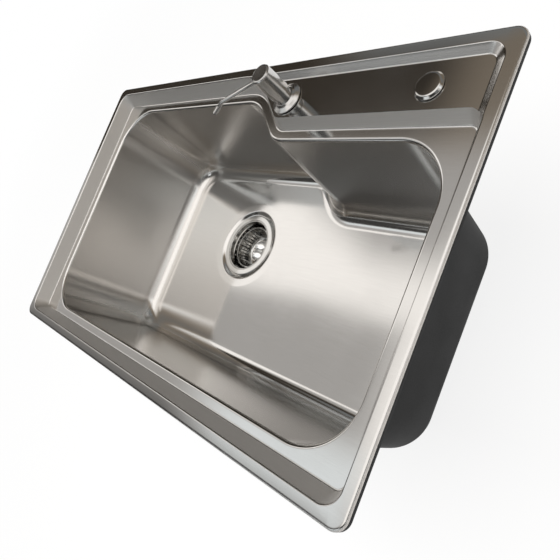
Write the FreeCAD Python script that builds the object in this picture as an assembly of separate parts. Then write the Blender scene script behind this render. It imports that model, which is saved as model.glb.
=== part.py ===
import FreeCAD, Part
import math
import os
from FreeCAD import Vector

# A drop-in kitchen sink, in millimetres. X runs along the sink, Y to the rear, Z up.
# The origin is the middle of the rim, on the worktop that the rim's edge rests on.

# Sink sheet, drawn from one blank
sheet = 1.0
rim_length = 750.0
rim_width = 450.0
rim_height = 8.0  # edge of the rim above the worktop
rim_corner = 15.0
rim_edge_bend = 3.0
rim_band = 13.5  # edge of the rim to the top of the step

step_depth = 21.0  # rim to the ledge round the bowl
step_run = 11.0
step_corner = 20.0
step_top_bend = 2.0
step_foot_bend = 3.0

deck_drop = 5.5  # rim to the tap deck
deck_run = 8.5
deck_width = 74.5  # rear edge of the rim to the front edge of the tap deck
deck_end_x = 88.0  # where the front edge of the deck turns to the rear
deck_end_angle = 45.0
deck_edge_bend = 2.0

bowl_inset = 39.0  # edge of the rim to the bowl wall
bowl_depth = 205.0  # rim to floor
bowl_lean = 4.5  # degrees from upright
bowl_corner = 66.0
nose_bend = 40.0  # bends of the bowl wall round the end of the deck
heel_bend = 54.0
lip_bend = 4.0
floor_bend = 26.0

# Drain
drain_x = -111.5
drain_y = 32.5
drain_hole = 45.0  # radius
dish_foot = 58.5
dish_radius = 66.5
dish_reach = 84.0  # where the floor starts to fall to the dish
dish_fall = 1.2  # from the reach to the dish
dish_depth = 4.0
dish_bend = 6.0
dish_easing = 100.0

# Holes of the tap deck
service_inset = 50.0  # rear edge of the rim to the middle of the holes
pump_offset = 10.0  # end of the deck to the soap pump
spare_inset = 81.0  # right edge of the rim to the spare hole
service_hole = 14.0  # radius

# Strainer body and what clamps it to the floor
flange_radius = 57.0
flange_edge = 3.0
flange_bend = 2.5
flange_gasket = 1.0
flange_gasket_width = 7.0
flange_gasket_margin = 3.0
body_wall = 2.0
body_depth = 52.0  # flange to the foot of the cup
cup_radius = 42.5
cup_taper = 2.0
cup_lip_bend = 4.0
cup_foot_bend = 6.0
outlet_radius = 23.9  # outside of the threaded outlet
outlet_length = 30.0
outlet_bend = 3.0
outlet_fall = 4.0  # slope of the cup floor to the outlet
clamp_clearance = 0.3
clamp_gasket = 3.0
clamp_ring = 1.5
clamp_width = 12.0
nut_height = 10.0
nut_wall = 7.0
nut_lug = 4.0
nut_lug_width = 9.0
nut_lugs = 8
spider_drop = 6.0  # foot of the cup to the spider in the outlet
spider_bar = 4.0
spider_height = 5.0
spider_hub = 7.0

# Basket that lifts out of the strainer
basket_sheet = 0.8
basket_radius = 39.0
basket_drop = 11.0  # flange to the rim of the basket
basket_rim = 2.5
basket_rim_bend = 1.5
basket_depth = 29.0
basket_foot = 31.0  # radius of its floor
basket_bend = 5.0
slot_count = 18
slot_width = 3.0
slot_margin = 5.0  # rim or floor to the end of a slot
hole_count = 12
hole_radius = 2.2
hole_ring = 21.0
post_radius = 4.0
post_clearance = 0.1
post_collar = 6.5
post_collar_height = 4.0
post_tip = 2.6  # radius of the tip in the spider
post_fit = 0.06
post_tip_length = 12.0
knob_radius = 16.0
knob_height = 12.0
knob_bend = 9.0
knob_foot = 8.0
knob_foot_height = 3.5
knob_undercut = 1.0
knob_socket = 7.0
knob_groove = 3.6  # width of the finger groove across the dome
knob_groove_depth = 3.5
stopper_radius = 28.0
stopper_height = 5.0
stopper_gap = 0.3
clip_radius = 5.4
clip_height = 2.0

# Soap pump, from the deck up
pump_gasket = 1.0
pump_gasket_margin = 1.2
pump_flange = 20.6  # radius
pump_flange_edge = 1.4
pump_flange_height = 5.5
pump_flange_top = 12.6
pump_flange_cove = 2.4
pump_flange_bend = 6.0
collar_radius = 11.3
collar_fit = 0.2
collar_wall = 2.3
collar_rise = 31.0  # above the flange base
collar_web = 2.0
press = 8.0  # stroke of the head
press_clearance = 0.5
head_radius = 13.0
head_height = 36.5
head_clearance = 0.4
head_top = 3.2
head_bevel = 1.2
head_boss = 6.2
head_boss_drop = 14.0
button_radius = 11.0
button_height = 2.0
button_clearance = 0.1
spout_drop = 7.0  # top of the head to the axis of the spout
spout_radius = 2.5
spout_bore = 1.6
spout_reach = 69.0  # pump axis to the bend
spout_bend = 14.0
spout_tip = 24.0  # bend to mouth
spout_fall = 9.0
spout_heading = -156.0  # degrees from +X
spout_clearance = 0.1
nozzle_wall = 0.45
nozzle_length = 15.0

# Soap pump, below the deck
shank_radius = 13.4
shank_length = 62.0
shank_seat = 12.0  # flange base to the seat inside the shank
shank_bore = 10.2
shank_washer = 2.0
shank_washer_radius = 21.0
shank_nut_height = 9.0
shank_nut_across = 36.0
thread_clearance = 0.3
housing_radius = 9.5
housing_bore = 7.5
housing_flange = 2.0
housing_length = 52.0
housing_floor = 3.0
nipple_radius = 3.2
nipple_bore = 1.5
nipple_length = 10.0
ball_radius = 2.4
ball_gap = 0.05
rod_radius = 3.4
rod_fit = 0.06
piston_clearance = 0.1
piston_height = 8.0
piston_drop = 22.0  # top of the housing to the piston
spring_radius = 6.6
spring_wall = 1.0
spring_gap = 0.2
tube_wall = 1.0
tube_clearance = 0.1
tube_lap = 8.0
tube_stop = 6.0  # end of the dip tube to the bottle floor
bottle_radius = 30.0
bottle_wall = 1.2
bottle_lap = 16.0  # neck over the shank
bottle_shoulder = 16.0
bottle_height = 165.0
bottle_bend = 12.0
bottle_neck_bend = 3.0

# Cover of the spare hole
cover_radius = 15.6
cover_edge = 1.4
cover_height = 5.0
cover_top = 12.0
cover_bend = 3.0
cover_gasket = 0.8
cover_gasket_margin = 1.0
stud_radius = 4.0
stud_length = 30.0
cover_washer = 1.5
cover_washer_radius = 19.0
wing_hub = 7.5
wing_height = 8.0
wing_reach = 16.0
wing_thickness = 3.0

# Heights and places that follow
deck_z = rim_height - deck_drop
ledge_z = rim_height - step_depth
floor_z = rim_height - bowl_depth
drain_seat = floor_z - dish_depth
deck_edge_inset = rim_band + step_run * deck_drop / step_depth
deck_front = rim_width / 2 - deck_width
service_y = rim_width / 2 - service_inset
pump_x = deck_end_x + pump_offset
spare_x = rim_length / 2 - spare_inset
lean_run = (bowl_depth - step_depth) * math.tan(math.radians(bowl_lean))

flange_top = drain_seat + flange_gasket + body_wall
cup_foot = flange_top - body_depth
outlet_bore = outlet_radius - body_wall
outlet_top = cup_foot - outlet_fall
outlet_end = outlet_top - outlet_length
spider_top = cup_foot - spider_drop - outlet_fall
basket_top = flange_top - basket_drop
basket_floor = basket_top - basket_depth

pump_base = deck_z + pump_gasket
shank_end = pump_base - shank_length
housing_top = pump_base - shank_seat + housing_flange
housing_end = housing_top - housing_length
piston_top = housing_top - piston_drop
bottle_top = shank_end + bottle_lap
bottle_floor = bottle_top - bottle_height
head_low = pump_base + pump_flange_height + press + press_clearance
head_high = head_low + head_height
spout_z = head_high - spout_drop
cover_base = deck_z + cover_gasket


def rounded(points, closed=False):
    # Straight runs and tangent arcs through (x, y, bend) corners, each as start, middle, end and centre.
    # An open chain starts with its first bend and ends with its last.
    count = len(points)
    bends = []
    for index, (x, y, bend) in enumerate(points):
        if not closed and index in (0, count - 1):
            continue
        corner = Vector(x, y)
        if bend == 0:
            bends.append((corner, None, corner, None))
            continue
        before = (Vector(*points[index - 1][:2]) - corner).normalize()
        after = (Vector(*points[(index + 1) % count][:2]) - corner).normalize()
        half = before.getAngle(after) / 2
        middle = (before + after).normalize()
        centre = corner + middle * (bend / math.sin(half))
        reach = bend / math.tan(half)
        bends.append((corner + before * reach, centre - middle * bend, corner + after * reach, centre))
    runs = []
    for index, arc in enumerate(bends):
        if arc[3] is not None:
            runs.append(arc)
        if closed or index + 1 < len(bends):
            runs.append((arc[2], None, bends[(index + 1) % len(bends)][0], None))
    return runs


def parallel(points, gap):
    # The open chain moved to its right by a gap, with its bends kept concentric
    runs = []
    for (x, y, _), (next_x, next_y, _) in zip(points, points[1:]):
        along = Vector(next_x - x, next_y - y).normalize()
        runs.append((Vector(x + along.y * gap, y - along.x * gap), along))
    moved = [(runs[0][0].x, runs[0][0].y, 0)]
    for (start, along), (other, onward), (_, _, bend) in zip(runs, runs[1:], points[1:]):
        turn = along.cross(onward).z
        corner = start + along * ((other - start).cross(onward).z / turn)
        moved.append((corner.x, corner.y, bend + math.copysign(gap, turn)))
    end = Vector(*points[-1][:2]) + Vector(runs[-1][1].y, -runs[-1][1].x) * gap
    return moved + [(end.x, end.y, 0)]


def edge_of(start, middle, end):
    if middle is None:
        return Part.LineSegment(start, end).toShape()
    return Part.Arc(start, middle, end).toShape()


def closed_solid(faces):
    shell = Part.makeShell(faces)
    shell.sewShape()
    solid = Part.makeSolid(shell)
    return solid if solid.Volume > 0 else solid.reversed()


def pressed(plan, section, base):
    # The hollow that a section leaves when it goes round a closed plan, which runs counterclockwise.
    # The section's x is the inset from the rim edge, and the plan is drawn at the inset called base.
    profile = rounded(section)
    rims = [(profile[0][0], []), (profile[-1][2], [])]
    faces = []
    for start, middle, end, centre in rounded(plan, closed=True):
        if centre is None:
            along = end - start
            inward = Vector(-along.y, along.x).normalize()
        else:
            spoke = start - centre
            turn = math.copysign(spoke.getAngle(end - centre), spoke.cross(end - centre).z)
            inward = spoke * (-math.copysign(1, turn) / spoke.Length)

        def place(point):
            return start + inward * (point.x - base) + Vector(0, 0, point.y)

        for first, half, last, _ in profile:
            edge = edge_of(place(first), half and place(half), place(last))
            if centre is None:
                faces.append(edge.extrude(along))
            else:
                faces.append(edge.revolve(centre, Vector(0, 0, 1), math.degrees(turn)))
        for point, edges in rims:
            from_here = place(point)
            if centre is None:
                edges.append(edge_of(from_here, None, from_here + along))
                continue
            hub = Vector(centre.x, centre.y, from_here.z)
            arm = from_here - hub
            swings = [FreeCAD.Rotation(Vector(0, 0, 1), math.degrees(turn) * share) for share in (0.5, 1)]
            edges.append(edge_of(from_here, *(hub + swing.multVec(arm) for swing in swings)))
    faces += [Part.Face(Part.Wire(edges)) for _, edges in rims]
    return closed_solid(faces)


def box_plan(inset, corner):
    x = rim_length / 2 - inset
    y = rim_width / 2 - inset
    return [(-x, -y, corner), (x, -y, corner), (x, y, corner), (-x, y, corner)]


def bowl_plan(inset, corner):
    # Outline of the bowl, or of the step round it: a rectangle that gives way to the tap deck
    x = rim_length / 2 - inset
    y = rim_width / 2 - inset
    inward = inset - deck_edge_inset
    front = deck_front - inward
    cosine = math.cos(math.radians(deck_end_angle))
    sine = math.sin(math.radians(deck_end_angle))
    reach = deck_end_x * cosine + deck_front * sine - inward
    nose_x = (reach - front * sine) / cosine
    heel_x = (reach - y * sine) / cosine
    nose = nose_bend - bowl_inset + inset
    heel = heel_bend + bowl_inset - inset
    return [
        (-x, -y, corner),
        (x, -y, corner),
        (x, front, corner),
        (nose_x, front, nose),
        (heel_x, y, heel),
        (-x, y, corner),
    ]


def step_hollow(gap):
    foot = rim_band + step_run
    section = [
        (0, rim_height, 0),
        (rim_band, rim_height, step_top_bend),
        (foot, ledge_z, step_foot_bend),
        (foot + step_run, ledge_z, 0),
    ]
    return pressed(bowl_plan(rim_band, step_corner), parallel(section, gap), rim_band)


def deck_hollow(gap):
    foot = rim_band + deck_run
    section = [
        (0, rim_height, 0),
        (rim_band, rim_height, step_top_bend),
        (foot, deck_z, step_foot_bend),
        (foot + deck_run, deck_z, 0),
    ]
    return pressed(box_plan(rim_band, step_corner), parallel(section, gap), rim_band)


def bowl_hollow(gap):
    foot = bowl_inset + lean_run
    section = [
        (0, ledge_z, 0),
        (bowl_inset, ledge_z, lip_bend),
        (foot, floor_z, floor_bend),
        (foot + bowl_inset, floor_z, 0),
    ]
    return pressed(bowl_plan(bowl_inset, bowl_corner), parallel(section, gap), bowl_inset)


def revolved(runs, x, y):
    # A solid about an upright axis, from the closed runs of its section in (radius, height)
    edges = []
    for run in runs:
        edges.append(edge_of(*(point and Vector(point.x, 0, point.y) for point in run[:3])))
    face = Part.Face(Part.Wire(Part.__sortEdges__(edges)))
    solid = face.revolve(Vector(), Vector(0, 0, 1), 360)
    solid.translate(Vector(x, y, 0))
    return solid


def turned(points, x, y):
    # A turned solid, from a closed outline of (radius, height) corners, some with a bend
    outline = [point if len(point) == 3 else (*point, 0) for point in points]
    return revolved(rounded(outline, closed=True), x, y)


def turned_sheet(section, wall, x, y):
    # A turned shell, from an open chain of (radius, height, bend) with the wall on its right
    runs = []
    ends = []
    for chain in (section, parallel(section, wall)):
        bends = rounded(chain)
        first, last = Vector(*chain[0][:2]), Vector(*chain[-1][:2])
        runs += [(first, None, bends[0][0]), *bends, (bends[-1][2], None, last)]
        ends.append((first, last))
    runs += [(near, None, far) for near, far in zip(*ends)]
    return revolved(runs, x, y)


def ring(inner, outer, low, high, x, y):
    return turned([(inner, low), (outer, low), (outer, high), (inner, high)], x, y)


def rod(radius, low, high, x, y):
    return Part.makeCylinder(radius, high - low, Vector(x, y, low))


def around(shape, count, x, y):
    copies = []
    for index in range(count):
        copy = shape.copy()
        copy.rotate(Vector(x, y, 0), Vector(0, 0, 1), 360 * index / count)
        copies.append(copy)
    return copies


def rim_cap(gap):
    plan = rounded(box_plan(gap, rim_corner - gap), closed=True)
    face = Part.Face(Part.Wire([edge_of(*run[:3]) for run in plan]))
    cap = face.extrude(Vector(0, 0, rim_height - gap))
    top = [edge for edge in cap.Edges if edge.BoundBox.ZMin > rim_height - gap - rim_edge_bend / 2]
    return cap.makeFillet(rim_edge_bend - gap, top)


def deck_edge(gap):
    # Rounds the deck over its front edge: the step as it would start from the deck, kept within the deck
    foot = rim_band + step_run
    section = [
        (0, deck_z, 0),
        (deck_edge_inset, deck_z, deck_edge_bend),
        (foot, ledge_z, step_foot_bend),
        (foot + step_run, ledge_z, 0),
    ]
    step = pressed(bowl_plan(rim_band, step_corner), parallel(section, gap), rim_band)
    plan = rounded(box_plan(rim_band + deck_run - gap, step_corner - deck_run), closed=True)
    within = Part.Face(Part.Wire([edge_of(*run[:3]) for run in plan]))
    within.translate(Vector(0, 0, ledge_z - gap))
    return step.common(within.extrude(Vector(0, 0, deck_z - ledge_z)))


def drain_dish(gap):
    # The floor falls to a seat for the strainer flange
    section = [
        (0, drain_seat, 0),
        (dish_foot, drain_seat, dish_bend),
        (dish_radius, floor_z - dish_fall, dish_bend),
        (dish_reach, floor_z, dish_easing),
        (dish_reach + dish_radius - dish_foot, floor_z, 0),
    ]
    low = parallel(section, gap)
    high = floor_z + dish_depth
    return turned(low + [(dish_reach + dish_radius - dish_foot, high), (0, high)], drain_x, drain_y)


def sink_shell():
    outside = rim_cap(0).cut(rim_cap(sheet))
    presses = (step_hollow, deck_hollow, deck_edge, bowl_hollow, drain_dish)
    outside = outside.fuse([press(sheet) for press in presses])
    hollow = step_hollow(0).fuse([press(0) for press in presses[1:]])
    holes = [rod(drain_hole, drain_seat - floor_bend, floor_z, drain_x, drain_y)]
    holes += [rod(service_hole, ledge_z, rim_height, x, service_y) for x in (pump_x, spare_x)]
    return outside.cut(hollow).cut(holes).removeSplitter()


def sheet_between(shell, low, high):
    corner = Vector(-rim_length / 2, -rim_width / 2, low)
    return shell.common(Part.makeBox(rim_length, rim_width, high - low, corner))


def sink_sheet():
    # The one pressing, carried as plain forms that meet face to face at the bends of the bowl
    shell = sink_shell()
    wall_top = ledge_z - lip_bend - sheet
    wall_foot = floor_z + floor_bend
    parts = {
        "sink_rim": sheet_between(shell, 0, rim_height),
        "sink_ledge": sheet_between(shell, wall_top, 0),
        "sink_floor": sheet_between(shell, drain_seat - floor_bend, wall_foot),
    }
    names = [
        "corner_front_left", "wall_front", "corner_front_right", "wall_right", "corner_deck", "wall_deck",
        "bend_nose", "wall_slant", "bend_heel", "wall_rear", "corner_rear_left", "wall_left",
    ]
    for name, run in zip(names, rounded(bowl_plan(bowl_inset, bowl_corner), closed=True)):
        start, middle, end, centre = run
        if centre is None:
            along = (end - start).normalize()
            out = Vector(along.y, -along.x) * bowl_inset
            plan = [start - out, start + out, end + out, end - out]
        else:
            plan = [centre] + [centre + (point - centre) * 2 for point in (start, middle, end)]
        within = Part.Face(Part.makePolygon(plan + plan[:1]))
        within.translate(Vector(0, 0, wall_foot))
        parts[name] = shell.common(within.extrude(Vector(0, 0, wall_top - wall_foot)))
    return parts


def at_drain(points):
    return turned(points, drain_x, drain_y)


def strainer_body():
    section = [
        (outlet_bore, outlet_end, 0),
        (outlet_bore, outlet_top, outlet_bend),
        (cup_radius - cup_taper, cup_foot, cup_foot_bend),
        (cup_radius, flange_top, cup_lip_bend),
        (flange_radius, flange_top, flange_bend),
        (flange_radius, flange_top - flange_edge, 0),
    ]
    body = turned_sheet(section, body_wall, drain_x, drain_y)
    spider_low = spider_top - spider_height
    across = outlet_radius + outlet_bore
    bar = Part.makeBox(across, spider_bar, spider_height)
    bar.translate(Vector(drain_x - across / 2, drain_y - spider_bar / 2, spider_low))
    hub = rod(spider_hub, spider_low, spider_top, drain_x, drain_y)
    hole = rod(post_tip + post_fit, spider_low, spider_top, drain_x, drain_y)
    return body.fuse(around(bar, 4, drain_x, drain_y)[:2] + [hub]).cut(hole).removeSplitter()


def strainer_clamp():
    # What holds the strainer body from below the floor, in the order it goes on
    bore = cup_radius + body_wall + clamp_clearance
    under = drain_seat - sheet
    gasket_low = under - clamp_gasket
    ring_low = gasket_low - clamp_ring
    nut_low = ring_low - nut_height
    nut_rim = bore + nut_wall
    lug = Part.makeBox(nut_wall / 2 + nut_lug, nut_lug_width, nut_height)
    lug.translate(Vector(drain_x + nut_rim - nut_wall / 2, drain_y - nut_lug_width / 2, nut_low))
    nut = ring(bore, nut_rim, nut_low, ring_low, drain_x, drain_y)
    return {
        "strainer_lower_gasket": ring(bore, bore + clamp_width, gasket_low, under, drain_x, drain_y),
        "strainer_friction_ring": ring(bore, bore + clamp_width, ring_low, gasket_low, drain_x, drain_y),
        "strainer_lock_nut": nut.fuse(around(lug, nut_lugs, drain_x, drain_y)).removeSplitter(),
    }


def strainer_gasket():
    outer = flange_radius - flange_gasket_margin
    inner = outer - flange_gasket_width
    return ring(inner, outer, drain_seat, drain_seat + flange_gasket, drain_x, drain_y)


def basket():
    wall_top = basket_radius - basket_rim
    section = [
        (post_radius + post_clearance, basket_floor, 0),
        (basket_foot, basket_floor, basket_bend),
        (wall_top, basket_top, basket_rim_bend),
        (basket_radius, basket_top, 0),
    ]
    cup = turned_sheet(section, basket_sheet, drain_x, drain_y)
    low = basket_floor + slot_margin
    slot = Part.makeBox(basket_radius, slot_width, basket_top - slot_margin - low)
    slot.translate(Vector(drain_x + basket_foot - basket_bend, drain_y - slot_width / 2, low))
    slots = around(slot, slot_count, drain_x, drain_y)
    hole = rod(hole_radius, basket_floor - basket_bend, low, drain_x + hole_ring, drain_y)
    return cup.cut(slots + around(hole, hole_count, drain_x, drain_y))


def seat_height(radius):
    # Height of the cup's sloping floor
    share = (cup_radius - cup_taper - radius) / (cup_radius - cup_taper - outlet_bore)
    return cup_foot - outlet_fall * share


def basket_fittings():
    under_floor = basket_floor - basket_sheet
    collar_top = basket_floor + post_collar_height
    stopper_low = seat_height(stopper_radius) + stopper_gap
    stopper_top = stopper_low + stopper_height
    centre_low = seat_height(outlet_bore) + stopper_gap
    tip_end = spider_top - post_tip_length
    knob_low = collar_top
    knob_rim = knob_low + knob_foot_height
    knob_top = knob_low + knob_height
    post = [
        (0, tip_end),
        (post_tip, tip_end),
        (post_tip, centre_low),
        (post_radius, centre_low),
        (post_radius, stopper_top),
        (post_collar, stopper_top),
        (post_collar, under_floor),
        (post_radius, under_floor),
        (post_radius, basket_floor),
        (post_collar, basket_floor),
        (post_collar, collar_top),
        (post_radius, collar_top),
        (post_radius, knob_low + knob_socket),
        (0, knob_low + knob_socket),
    ]
    knob = [
        (0, knob_low + knob_socket),
        (post_radius, knob_low + knob_socket),
        (post_radius, knob_low),
        (knob_foot, knob_low),
        (knob_foot, knob_rim - knob_undercut),
        (knob_radius, knob_rim),
        (knob_radius, knob_top, knob_bend),
        (0, knob_top),
    ]
    groove = Part.makeBox(2 * knob_radius, knob_groove, knob_groove_depth)
    groove.translate(Vector(drain_x - knob_radius, drain_y - knob_groove / 2, knob_top - knob_groove_depth))
    stopper = [
        (post_radius, centre_low),
        (outlet_bore, centre_low),
        (stopper_radius, stopper_low),
        (stopper_radius, stopper_top),
        (post_radius, stopper_top),
    ]
    return {
        "basket_post": at_drain(post),
        "basket_knob": at_drain(knob).cut(groove),
        "basket_stopper": at_drain(stopper),
        "basket_clip": ring(post_tip, clip_radius, centre_low - clip_height, centre_low, drain_x, drain_y),
    }


def at_pump(points):
    return turned(points, pump_x, service_y)


def pump_flange_and_shank():
    edge = pump_base + pump_flange_edge
    top = pump_base + pump_flange_height
    seat = pump_base - shank_seat
    bore = collar_radius + collar_fit
    return at_pump([
        (bore, top),
        (bore, seat),
        (shank_bore, seat),
        (shank_bore, shank_end),
        (shank_radius, shank_end),
        (shank_radius, pump_base),
        (pump_flange, pump_base),
        (pump_flange, edge),
        (pump_flange_top + pump_flange_cove, edge + pump_flange_cove, pump_flange_bend),
        (pump_flange_top, top),
    ])


def pump_collar():
    bore = collar_radius - collar_wall
    guide = rod_radius + rod_fit
    top = pump_base + collar_rise
    return at_pump([
        (guide, housing_top),
        (collar_radius, housing_top),
        (collar_radius, top),
        (bore, top),
        (bore, housing_top + collar_web),
        (guide, housing_top + collar_web),
    ])


def pump_housing():
    flange_low = housing_top - housing_flange
    floor_top = housing_end + housing_floor
    return at_pump([
        (collar_radius, flange_low),
        (collar_radius, housing_top),
        (housing_bore, housing_top),
        (housing_bore, floor_top),
        (nipple_bore, floor_top),
        (nipple_bore, housing_end - nipple_length),
        (nipple_radius, housing_end - nipple_length),
        (nipple_radius, housing_end),
        (housing_radius, housing_end),
        (housing_radius, flange_low),
    ])


def pump_inside():
    floor_top = housing_end + housing_floor
    piston_low = piston_top - piston_height
    piston = [
        (0, piston_low),
        (housing_bore - piston_clearance, piston_low),
        (housing_bore - piston_clearance, piston_top),
        (rod_radius, piston_top),
        (rod_radius, head_high - head_top),
        (0, head_high - head_top),
    ]
    ball_z = floor_top + math.sqrt(ball_radius ** 2 - nipple_bore ** 2) + ball_gap
    tube_low = bottle_floor + tube_stop
    tube_bore = nipple_radius + tube_clearance
    tube_high = housing_end - nipple_length + tube_lap
    spring_low = floor_top + spring_gap
    spring_high = piston_low - spring_gap
    spring_bore = spring_radius - spring_wall
    spring = ring(spring_bore, spring_radius, spring_low, spring_high, pump_x, service_y)
    return {
        "pump_piston": at_pump(piston),
        "pump_check_ball": Part.makeSphere(ball_radius, Vector(pump_x, service_y, ball_z)),
        "pump_spring": spring,
        "pump_dip_tube": ring(tube_bore, tube_bore + tube_wall, tube_low, tube_high, pump_x, service_y),
    }


def spout_path():
    # The spout's middle line, in the upright plane of its heading
    run = math.sqrt(spout_tip ** 2 - spout_fall ** 2)
    chain = [
        (rod_radius + rod_fit, spout_z, 0),
        (spout_reach, spout_z, spout_bend),
        (spout_reach + run, spout_z - spout_fall, 0),
    ]
    bends = rounded(chain)
    runs = [(Vector(*chain[0][:2]), None, bends[0][0]), *bends, (bends[0][2], None, Vector(*chain[2][:2]))]
    heading = Vector(math.cos(math.radians(spout_heading)), math.sin(math.radians(spout_heading)), 0)

    def place(point):
        return Vector(pump_x, service_y, point.y) + heading * point.x

    return [[point and place(point) for point in run[:3]] for run in runs], heading


def tube_along(path, heading, radius):
    start = path[0][0]
    circle = Part.Wire(Part.Circle(start, heading, radius).toShape())
    return Part.Wire([edge_of(*run) for run in path]).makePipeShell([circle], True, True)


def pump_head():
    path, heading = spout_path()
    bore = collar_radius + head_clearance
    inner_top = head_high - head_top
    boss_low = head_high - head_boss_drop
    sleeve = at_pump([
        (bore, head_low),
        (head_radius, head_low),
        (head_radius, head_high, head_bevel),
        (button_radius + button_clearance, head_high),
        (button_radius + button_clearance, head_high - button_height),
        (0, head_high - button_height),
        (0, inner_top),
        (rod_radius + rod_fit, inner_top),
        (rod_radius + rod_fit, boss_low),
        (head_boss, boss_low),
        (head_boss, inner_top),
        (bore, inner_top),
    ])
    button = rod(button_radius, head_high - button_height, head_high, pump_x, service_y)
    mouth = path[-1][2]
    along = (mouth - path[-1][0]).normalize()
    back = mouth - along * nozzle_length
    nozzle_bore = spout_radius + spout_clearance / 2
    nozzle = Part.makeCylinder(nozzle_bore + nozzle_wall, nozzle_length, back, along)
    spout = tube_along(path, heading, spout_radius)
    return {
        "pump_sleeve": sleeve.cut(tube_along(path, heading, spout_radius + spout_clearance)),
        "pump_button": button,
        "pump_spout": spout.cut(tube_along(path, heading, spout_bore)),
        "pump_nozzle": nozzle.cut(Part.makeCylinder(nozzle_bore, nozzle_length, back, along)),
    }


def hexagon(across, low, high, x, y):
    radius = across / math.sqrt(3)
    turns = [math.radians(60 * k) for k in range(6)]
    corners = [Vector(x + radius * math.cos(turn), y + radius * math.sin(turn), low) for turn in turns]
    return Part.Face(Part.makePolygon(corners + corners[:1])).extrude(Vector(0, 0, high - low))


def pump_fixings():
    bore = shank_radius + thread_clearance
    under = deck_z - sheet
    nut_top = under - shank_washer
    nut = hexagon(shank_nut_across, nut_top - shank_nut_height, nut_top, pump_x, service_y)
    outer = pump_flange - pump_gasket_margin
    return {
        "pump_gasket": ring(bore, outer, deck_z, pump_base, pump_x, service_y),
        "pump_washer": ring(bore, shank_washer_radius, nut_top, under, pump_x, service_y),
        "pump_nut": nut.cut(rod(bore, nut_top - shank_nut_height, nut_top, pump_x, service_y)),
    }


def soap_bottle():
    neck = shank_radius + thread_clearance
    shoulder = shank_end - bottle_shoulder
    section = [
        (0, bottle_floor, 0),
        (bottle_radius - bottle_wall, bottle_floor, bottle_bend),
        (bottle_radius - bottle_wall, shoulder, bottle_bend),
        (neck, shank_end, bottle_neck_bend),
        (neck, bottle_top, 0),
    ]
    return turned_sheet(section, bottle_wall, pump_x, service_y)


def hole_cover():
    under = deck_z - sheet
    top = cover_base + cover_height
    washer_low = under - cover_washer
    wing_low = washer_low - wing_height
    bore = stud_radius + thread_clearance
    cap = turned([
        (0, cover_base),
        (cover_radius, cover_base),
        (cover_radius, cover_base + cover_edge),
        (cover_top, top, cover_bend),
        (0, top),
    ], spare_x, service_y)
    wing = Part.makeBox(2 * wing_reach, wing_thickness, wing_height)
    wing.translate(Vector(spare_x - wing_reach, service_y - wing_thickness / 2, wing_low))
    wing_nut = rod(wing_hub, wing_low, washer_low, spare_x, service_y).fuse(wing)
    wing_nut = wing_nut.cut(rod(bore, wing_low, washer_low, spare_x, service_y))
    gasket_rim = cover_radius - cover_gasket_margin
    return {
        "cover_cap": cap,
        "cover_stud": rod(stud_radius, cover_base - stud_length, cover_base, spare_x, service_y),
        "cover_gasket": ring(bore, gasket_rim, deck_z, cover_base, spare_x, service_y),
        "cover_washer": ring(bore, cover_washer_radius, washer_low, under, spare_x, service_y),
        "cover_wing_nut": wing_nut.removeSplitter(),
    }


def build():
    nodes = {
        "strainer_body": strainer_body(),
        "strainer_gasket": strainer_gasket(),
        "basket": basket(),
        "pump_flange": pump_flange_and_shank(),
        "pump_collar": pump_collar(),
        "pump_housing": pump_housing(),
        "soap_bottle": soap_bottle(),
    }
    groups = (sink_sheet, strainer_clamp, basket_fittings, pump_inside, pump_head, pump_fixings, hole_cover)
    for group in groups:
        nodes.update(group())
    return nodes


os.makedirs("parts", exist_ok=True)
for name, shape in build().items():
    shape.exportStep(f"parts/{name}.step")
    print(name, round(shape.Volume), "mm3")
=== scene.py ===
import bmesh
import bpy
import math
from functools import partial
from mathutils import Matrix, Vector


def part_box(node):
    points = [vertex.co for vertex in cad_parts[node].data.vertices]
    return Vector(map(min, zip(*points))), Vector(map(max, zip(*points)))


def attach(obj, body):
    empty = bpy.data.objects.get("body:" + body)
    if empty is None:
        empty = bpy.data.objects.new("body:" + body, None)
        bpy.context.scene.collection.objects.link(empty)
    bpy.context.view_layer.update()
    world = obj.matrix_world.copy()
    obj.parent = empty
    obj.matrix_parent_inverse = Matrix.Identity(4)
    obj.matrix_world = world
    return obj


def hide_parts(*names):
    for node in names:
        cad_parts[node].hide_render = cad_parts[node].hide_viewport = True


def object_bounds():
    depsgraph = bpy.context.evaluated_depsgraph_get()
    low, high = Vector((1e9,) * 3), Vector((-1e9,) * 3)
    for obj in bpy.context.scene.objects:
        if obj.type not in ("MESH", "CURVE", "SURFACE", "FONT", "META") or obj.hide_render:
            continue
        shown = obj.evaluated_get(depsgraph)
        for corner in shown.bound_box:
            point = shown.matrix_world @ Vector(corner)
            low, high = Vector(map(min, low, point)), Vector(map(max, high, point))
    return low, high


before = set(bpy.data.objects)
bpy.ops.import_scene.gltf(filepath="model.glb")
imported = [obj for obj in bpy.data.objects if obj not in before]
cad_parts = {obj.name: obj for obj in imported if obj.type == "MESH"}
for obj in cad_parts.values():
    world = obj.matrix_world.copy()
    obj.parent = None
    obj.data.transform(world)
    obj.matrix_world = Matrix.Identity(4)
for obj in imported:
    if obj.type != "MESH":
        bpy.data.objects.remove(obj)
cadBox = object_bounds()
zAxis = Vector((0, 0, 1))
merge = 1e-5  # points closer than this are one
level = 1e-6  # heights closer than this are one


def weld(bm):
    bmesh.ops.remove_doubles(bm, verts=bm.verts[:], dist=merge)


def turnOutward(bm):
    bmesh.ops.recalc_face_normals(bm, faces=bm.faces[:])


def extrudeTo(bm, tip, place):
    # One straight run of a chain
    moved = bmesh.ops.extrude_vert_indiv(bm, verts=[tip])["verts"]
    bmesh.ops.translate(bm, verts=moved, vec=place - tip.co)
    return moved[0]


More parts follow.
